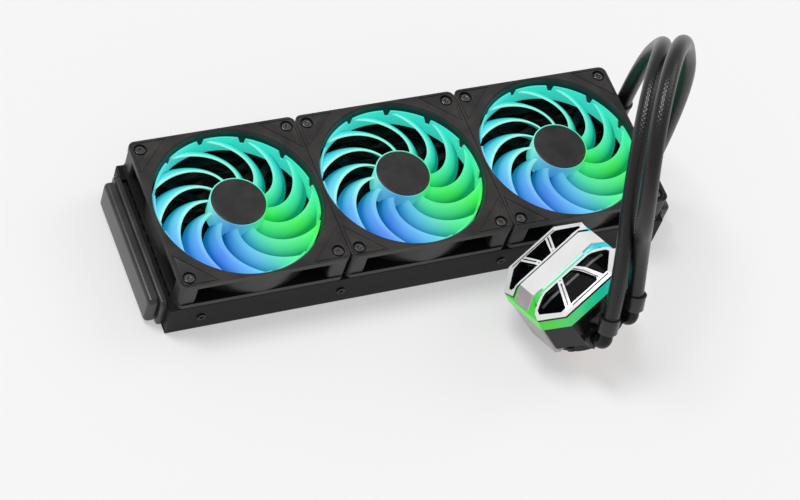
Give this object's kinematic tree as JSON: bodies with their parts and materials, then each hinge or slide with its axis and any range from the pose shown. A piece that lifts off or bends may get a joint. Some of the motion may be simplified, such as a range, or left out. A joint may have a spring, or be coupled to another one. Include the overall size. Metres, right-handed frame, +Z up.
{
  "type": "all in one cpu liquid cooler",
  "caption": "All in one processor liquid cooler: fans on a slim radiator, two sleeved hoses and a faceted pump head with a lit cap.",
  "frame": {"origin": "centre of the radiator's underside, between the case screw holes of the middle fan", "axes": "+X along the radiator towards the tank with the hose ports, +Z up out of the fans, +Y away from the pump head"},
  "size_m": [0.3903, 0.2193, 0.2163],
  "materials": {
    "rail_black": "satin",
    "tank_black": "satin",
    "core_black": "matte",
    "fan_plastic": "matte",
    "lit_blade": "translucent",
    "hub_black": "matte",
    "dark_screw": "satin",
    "bright_screw": "satin",
    "steel": "polished",
    "ferrite": "matte",
    "bronze": "satin",
    "winding": "satin",
    "board_green": "satin",
    "pump_plastic": "satin",
    "light_guide": "translucent",
    "frame_white": "gloss",
    "smoked_pane": "gloss",
    "plate_white": "satin",
    "end_silver": "satin",
    "copper": "polished",
    "seal_rubber": "matte",
    "inner_plastic": "satin",
    "elbow_plastic": "satin",
    "ferrule_metal": "satin",
    "hose_sleeve": "braided"
  },
  "bodies": {
    "cooler": {"front_rail": "rail_black", "rear_rail": "rail_black", "rail_screws": "dark_screw", "coolant_tubes": "core_black", "cooling_fins": "core_black", "header_plates": "core_black", "left_tank": "tank_black", "right_tank": "tank_black", "radiator_ferrules": "ferrule_metal", "pump_body": "pump_plastic", "cold_plate": "copper", "base_gasket": "seal_rubber", "base_screws": "bright_screw", "jet_plate": "inner_plastic", "impeller_shaft": "steel", "motor_can": "steel", "pump_stator": "winding", "pump_board": "board_green", "light_guide": "light_guide", "window_frames": "frame_white", "window_panes": "smoked_pane", "centre_plate": "plate_white", "end_panels": "end_silver", "port_clips": "dark_screw", "elbow_seals": "seal_rubber", "hose_front": "hose_sleeve", "hose_rear": "hose_sleeve", "fan_left_frame": "fan_plastic", "fan_left_screws": "bright_screw", "fan_left_bearing": "bronze", "fan_left_stator": "winding", "fan_left_board": "board_green", "fan_middle_frame": "fan_plastic", "fan_middle_screws": "bright_screw", "fan_middle_bearing": "bronze", "fan_middle_stator": "winding", "fan_middle_board": "board_green", "fan_right_frame": "fan_plastic", "fan_right_screws": "bright_screw", "fan_right_bearing": "bronze", "fan_right_stator": "winding", "fan_right_board": "board_green"},
    "left_rotor": {"fan_left_rotor": "lit_blade", "fan_left_hub_disc": "hub_black", "fan_left_magnet": "ferrite", "fan_left_shaft": "steel"},
    "middle_rotor": {"fan_middle_rotor": "lit_blade", "fan_middle_hub_disc": "hub_black", "fan_middle_magnet": "ferrite", "fan_middle_shaft": "steel"},
    "right_rotor": {"fan_right_rotor": "lit_blade", "fan_right_hub_disc": "hub_black", "fan_right_magnet": "ferrite", "fan_right_shaft": "steel"},
    "pump_impeller": {"impeller": "inner_plastic", "impeller_magnet": "ferrite"},
    "front_elbow": {"elbow_front": "elbow_plastic", "pump_ferrule_front": "ferrule_metal"},
    "rear_elbow": {"elbow_rear": "elbow_plastic", "pump_ferrule_rear": "ferrule_metal"}
  },
  "joints": [
    {"name": "fan_left_spin", "type": "hinge", "parent": "cooler", "child": "left_rotor", "pos_m": [-0.12, 0, 0.04], "axis": [0, 0, 1], "continuous": true},
    {"name": "fan_middle_spin", "type": "hinge", "parent": "cooler", "child": "middle_rotor", "pos_m": [0, 0, 0.04], "axis": [0, 0, 1], "continuous": true},
    {"name": "fan_right_spin", "type": "hinge", "parent": "cooler", "child": "right_rotor", "pos_m": [0.12, 0, 0.04], "axis": [0, 0, 1], "continuous": true},
    {"name": "impeller_spin", "type": "hinge", "parent": "cooler", "child": "pump_impeller", "pos_m": [0.09299, -0.11261, 0.0288], "axis": [-0.5273, 0.2355, 0.8164], "continuous": true},
    {"name": "elbow_front_swivel", "type": "hinge", "parent": "cooler", "child": "front_elbow", "pos_m": [0.09064, -0.15529, 0.04082], "axis": [0.1707, -0.9119, 0.3733], "range_deg": [-5, 40], "deforming": ["hose_front"]},
    {"name": "elbow_rear_swivel", "type": "hinge", "parent": "cooler", "child": "rear_elbow", "pos_m": [0.11062, -0.14722, 0.0514], "axis": [0.1707, -0.9119, 0.3733], "range_deg": [-40, 5], "deforming": ["hose_rear"]}
  ]
}
